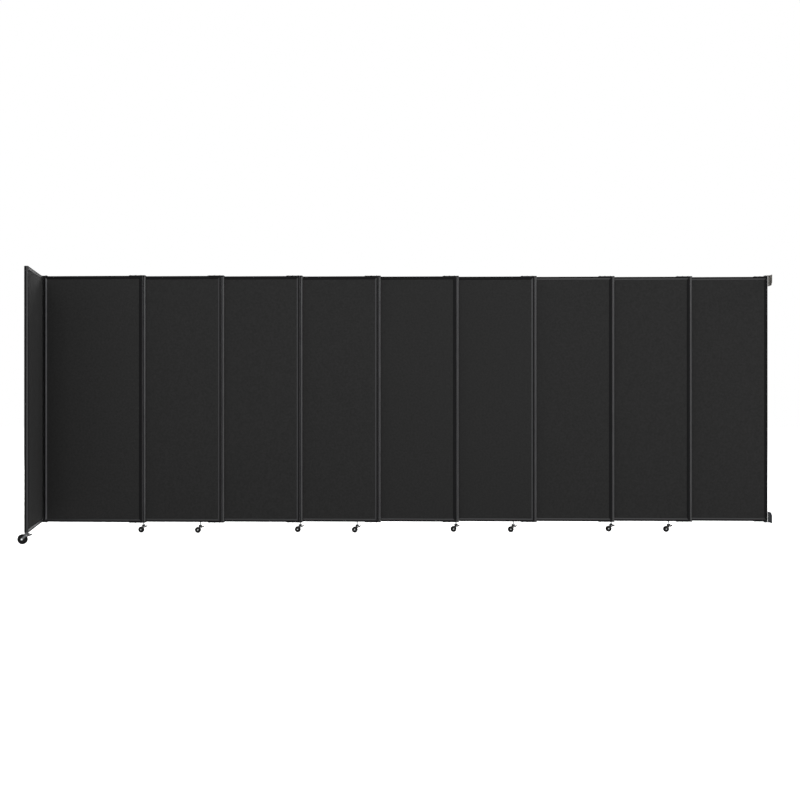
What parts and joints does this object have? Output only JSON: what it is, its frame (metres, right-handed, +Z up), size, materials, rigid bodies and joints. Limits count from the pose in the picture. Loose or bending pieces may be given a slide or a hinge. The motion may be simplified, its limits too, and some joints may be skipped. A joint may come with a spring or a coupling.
{
  "type": "acoustic room divider",
  "caption": "Long acoustic room divider of fabric-faced panels that slide past each other, hinged to a wall, with a turning end panel and swivel casters.",
  "frame": {"origin": "middle of the object's box, on the floor", "axes": "+X along the run towards the wall, +Y towards the back of the run, +Z up"},
  "size_m": [5.9478, 1.1834, 2.0971],
  "materials": {
    "frame": "satin",
    "fabric": "matte",
    "guide": "satin",
    "link": "satin",
    "pin": "satin",
    "bracket": "satin",
    "yoke": "satin",
    "pedal": "satin",
    "wheel": "matte"
  },
  "bodies": {
    "wall": {"wall_brackets": "bracket", "wall_pivot_pins": "pin"},
    "panel_9": {"panel_9_frame": "frame", "panel_9_infill": "fabric", "panel_9_pivot_plates": "guide"},
    "panel_8": {"panel_8_frame": "frame", "panel_8_infill": "fabric", "panel_8_guides": "guide"},
    "panel_7": {"panel_7_frame": "frame", "panel_7_infill": "fabric", "panel_7_guides": "guide"},
    "panel_6": {"panel_6_frame": "frame", "panel_6_infill": "fabric", "panel_6_guides": "guide"},
    "panel_5": {"panel_5_frame": "frame", "panel_5_infill": "fabric", "panel_5_guides": "guide"},
    "panel_4": {"panel_4_frame": "frame", "panel_4_infill": "fabric", "panel_4_guides": "guide"},
    "panel_3": {"panel_3_frame": "frame", "panel_3_infill": "fabric", "panel_3_guides": "guide"},
    "panel_2": {"panel_2_frame": "frame", "panel_2_infill": "fabric", "panel_2_guides": "guide"},
    "panel_1": {"panel_1_frame": "frame", "panel_1_infill": "fabric", "panel_1_guides": "guide"},
    "hinge_link": {"hinge_links": "link", "hinge_pins": "pin"},
    "end_panel": {"end_panel_frame": "frame", "end_panel_infill": "fabric"},
    "caster_1_fork": {"caster_1_fork": "yoke"},
    "caster_1_wheel": {"caster_1_wheel": "wheel"},
    "caster_1_pedal": {"caster_1_pedal": "pedal"},
    "caster_2_fork": {"caster_2_fork": "yoke"},
    "caster_2_wheel": {"caster_2_wheel": "wheel"},
    "caster_2_pedal": {"caster_2_pedal": "pedal"},
    "caster_3_fork": {"caster_3_fork": "yoke"},
    "caster_3_wheel": {"caster_3_wheel": "wheel"},
    "caster_3_pedal": {"caster_3_pedal": "pedal"},
    "caster_4_fork": {"caster_4_fork": "yoke"},
    "caster_4_wheel": {"caster_4_wheel": "wheel"},
    "caster_4_pedal": {"caster_4_pedal": "pedal"},
    "caster_5_fork": {"caster_5_fork": "yoke"},
    "caster_5_wheel": {"caster_5_wheel": "wheel"},
    "caster_5_pedal": {"caster_5_pedal": "pedal"},
    "caster_6_fork": {"caster_6_fork": "yoke"},
    "caster_6_wheel": {"caster_6_wheel": "wheel"},
    "caster_6_pedal": {"caster_6_pedal": "pedal"},
    "caster_7_fork": {"caster_7_fork": "yoke"},
    "caster_7_wheel": {"caster_7_wheel": "wheel"},
    "caster_7_pedal": {"caster_7_pedal": "pedal"},
    "caster_8_fork": {"caster_8_fork": "yoke"},
    "caster_8_wheel": {"caster_8_wheel": "wheel"},
    "caster_8_pedal": {"caster_8_pedal": "pedal"},
    "end_caster_fork": {"end_caster_fork": "yoke"},
    "end_caster_wheel": {"end_caster_wheel": "wheel"},
    "end_caster_pedal": {"end_caster_pedal": "pedal"}
  },
  "joints": [
    {"name": "run_swing", "type": "hinge", "parent": "wall", "child": "panel_9", "pos_m": [2.93886, 0.54671, 2.083], "axis": [0, 0, 1], "range_deg": [-90, 5]},
    {"name": "panel_8_slide", "type": "slide", "parent": "panel_9", "child": "panel_8", "axis": [1, 0, 0], "range_m": [0, 0.61]},
    {"name": "panel_7_slide", "type": "slide", "parent": "panel_8", "child": "panel_7", "axis": [1, 0, 0], "range_m": [0, 0.61]},
    {"name": "panel_6_slide", "type": "slide", "parent": "panel_7", "child": "panel_6", "axis": [1, 0, 0], "range_m": [0, 0.61]},
    {"name": "panel_5_slide", "type": "slide", "parent": "panel_6", "child": "panel_5", "axis": [1, 0, 0], "range_m": [0, 0.61]},
    {"name": "panel_4_slide", "type": "slide", "parent": "panel_5", "child": "panel_4", "axis": [1, 0, 0], "range_m": [0, 0.61]},
    {"name": "panel_3_slide", "type": "slide", "parent": "panel_4", "child": "panel_3", "axis": [1, 0, 0], "range_m": [0, 0.61]},
    {"name": "panel_2_slide", "type": "slide", "parent": "panel_3", "child": "panel_2", "axis": [1, 0, 0], "range_m": [0, 0.61]},
    {"name": "panel_1_slide", "type": "slide", "parent": "panel_2", "child": "panel_1", "axis": [1, 0, 0], "range_m": [0, 0.61]},
    {"name": "hinge_link_turn", "type": "hinge", "parent": "panel_1", "child": "hinge_link", "pos_m": [-2.91314, 0.18671, 2.083], "axis": [0, 0, 1], "range_deg": [0, 77.5]},
    {"name": "end_panel_turn", "type": "hinge", "parent": "hinge_link", "child": "end_panel", "pos_m": [-2.95618, 0.18671, 2.083], "axis": [0, 0, 1], "range_deg": [-192.5, 0]},
    {"name": "caster_1_swivel", "type": "hinge", "parent": "panel_2", "child": "caster_1_fork", "pos_m": [-2.12214, 0.23171, 0.088], "axis": [0, 0, 1], "continuous": true},
    {"name": "caster_1_roll", "type": "hinge", "parent": "caster_1_fork", "child": "caster_1_wheel", "pos_m": [-2.14214, 0.23171, 0.024], "axis": [0, 1, 0], "continuous": true},
    {"name": "caster_1_brake", "type": "hinge", "parent": "caster_1_fork", "child": "caster_1_pedal", "pos_m": [-2.11614, 0.23171, 0.046], "axis": [0, 1, 0], "range_deg": [0, 20]},
    {"name": "caster_2_swivel", "type": "hinge", "parent": "panel_2", "child": "caster_2_fork", "pos_m": [-1.65614, 0.23171, 0.088], "axis": [0, 0, 1], "continuous": true},
    {"name": "caster_2_roll", "type": "hinge", "parent": "caster_2_fork", "child": "caster_2_wheel", "pos_m": [-1.67614, 0.23171, 0.024], "axis": [0, 1, 0], "continuous": true},
    {"name": "caster_2_brake", "type": "hinge", "parent": "caster_2_fork", "child": "caster_2_pedal", "pos_m": [-1.65014, 0.23171, 0.046], "axis": [0, 1, 0], "range_deg": [0, 20]},
    {"name": "caster_3_swivel", "type": "hinge", "parent": "panel_4", "child": "caster_3_fork", "pos_m": [-0.85414, 0.32171, 0.088], "axis": [0, 0, 1], "continuous": true},
    {"name": "caster_3_roll", "type": "hinge", "parent": "caster_3_fork", "child": "caster_3_wheel", "pos_m": [-0.87414, 0.32171, 0.024], "axis": [0, 1, 0], "continuous": true},
    {"name": "caster_3_brake", "type": "hinge", "parent": "caster_3_fork", "child": "caster_3_pedal", "pos_m": [-0.84814, 0.32171, 0.046], "axis": [0, 1, 0], "range_deg": [0, 20]},
    {"name": "caster_4_swivel", "type": "hinge", "parent": "panel_4", "child": "caster_4_fork", "pos_m": [-0.38814, 0.32171, 0.088], "axis": [0, 0, 1], "continuous": true},
    {"name": "caster_4_roll", "type": "hinge", "parent": "caster_4_fork", "child": "caster_4_wheel", "pos_m": [-0.40814, 0.32171, 0.024], "axis": [0, 1, 0], "continuous": true},
    {"name": "caster_4_brake", "type": "hinge", "parent": "caster_4_fork", "child": "caster_4_pedal", "pos_m": [-0.38214, 0.32171, 0.046], "axis": [0, 1, 0], "range_deg": [0, 20]},
    {"name": "caster_5_swivel", "type": "hinge", "parent": "panel_6", "child": "caster_5_fork", "pos_m": [0.41386, 0.41171, 0.088], "axis": [0, 0, 1], "continuous": true},
    {"name": "caster_5_roll", "type": "hinge", "parent": "caster_5_fork", "child": "caster_5_wheel", "pos_m": [0.39386, 0.41171, 0.024], "axis": [0, 1, 0], "continuous": true},
    {"name": "caster_5_brake", "type": "hinge", "parent": "caster_5_fork", "child": "caster_5_pedal", "pos_m": [0.41986, 0.41171, 0.046], "axis": [0, 1, 0], "range_deg": [0, 20]},
    {"name": "caster_6_swivel", "type": "hinge", "parent": "panel_6", "child": "caster_6_fork", "pos_m": [0.87986, 0.41171, 0.088], "axis": [0, 0, 1], "continuous": true},
    {"name": "caster_6_roll", "type": "hinge", "parent": "caster_6_fork", "child": "caster_6_wheel", "pos_m": [0.85986, 0.41171, 0.024], "axis": [0, 1, 0], "continuous": true},
    {"name": "caster_6_brake", "type": "hinge", "parent": "caster_6_fork", "child": "caster_6_pedal", "pos_m": [0.88586, 0.41171, 0.046], "axis": [0, 1, 0], "range_deg": [0, 20]},
    {"name": "caster_7_swivel", "type": "hinge", "parent": "panel_8", "child": "caster_7_fork", "pos_m": [1.68186, 0.50171, 0.088], "axis": [0, 0, 1], "continuous": true},
    {"name": "caster_7_roll", "type": "hinge", "parent": "caster_7_fork", "child": "caster_7_wheel", "pos_m": [1.66186, 0.50171, 0.024], "axis": [0, 1, 0], "continuous": true},
    {"name": "caster_7_brake", "type": "hinge", "parent": "caster_7_fork", "child": "caster_7_pedal", "pos_m": [1.68786, 0.50171, 0.046], "axis": [0, 1, 0], "range_deg": [0, 20]},
    {"name": "caster_8_swivel", "type": "hinge", "parent": "panel_8", "child": "caster_8_fork", "pos_m": [2.14786, 0.50171, 0.088], "axis": [0, 0, 1], "continuous": true},
    {"name": "caster_8_roll", "type": "hinge", "parent": "caster_8_fork", "child": "caster_8_wheel", "pos_m": [2.12786, 0.50171, 0.024], "axis": [0, 1, 0], "continuous": true},
    {"name": "caster_8_brake", "type": "hinge", "parent": "caster_8_fork", "child": "caster_8_pedal", "pos_m": [2.15386, 0.50171, 0.046], "axis": [0, 1, 0], "range_deg": [0, 20]},
    {"name": "end_caster_swivel", "type": "hinge", "parent": "end_panel", "child": "end_caster_fork", "pos_m": [-2.79342, -0.54746, 0.088], "axis": [0, 0, 1], "continuous": true},
    {"name": "end_caster_roll", "type": "hinge", "parent": "end_caster_fork", "child": "end_caster_wheel", "pos_m": [-2.82742, -0.54746, 0.0375], "axis": [0, 1, 0], "continuous": true},
    {"name": "end_caster_brake", "type": "hinge", "parent": "end_caster_fork", "child": "end_caster_pedal", "pos_m": [-2.78742, -0.54746, 0.065], "axis": [0, 1, 0], "range_deg": [0, 20]}
  ]
}
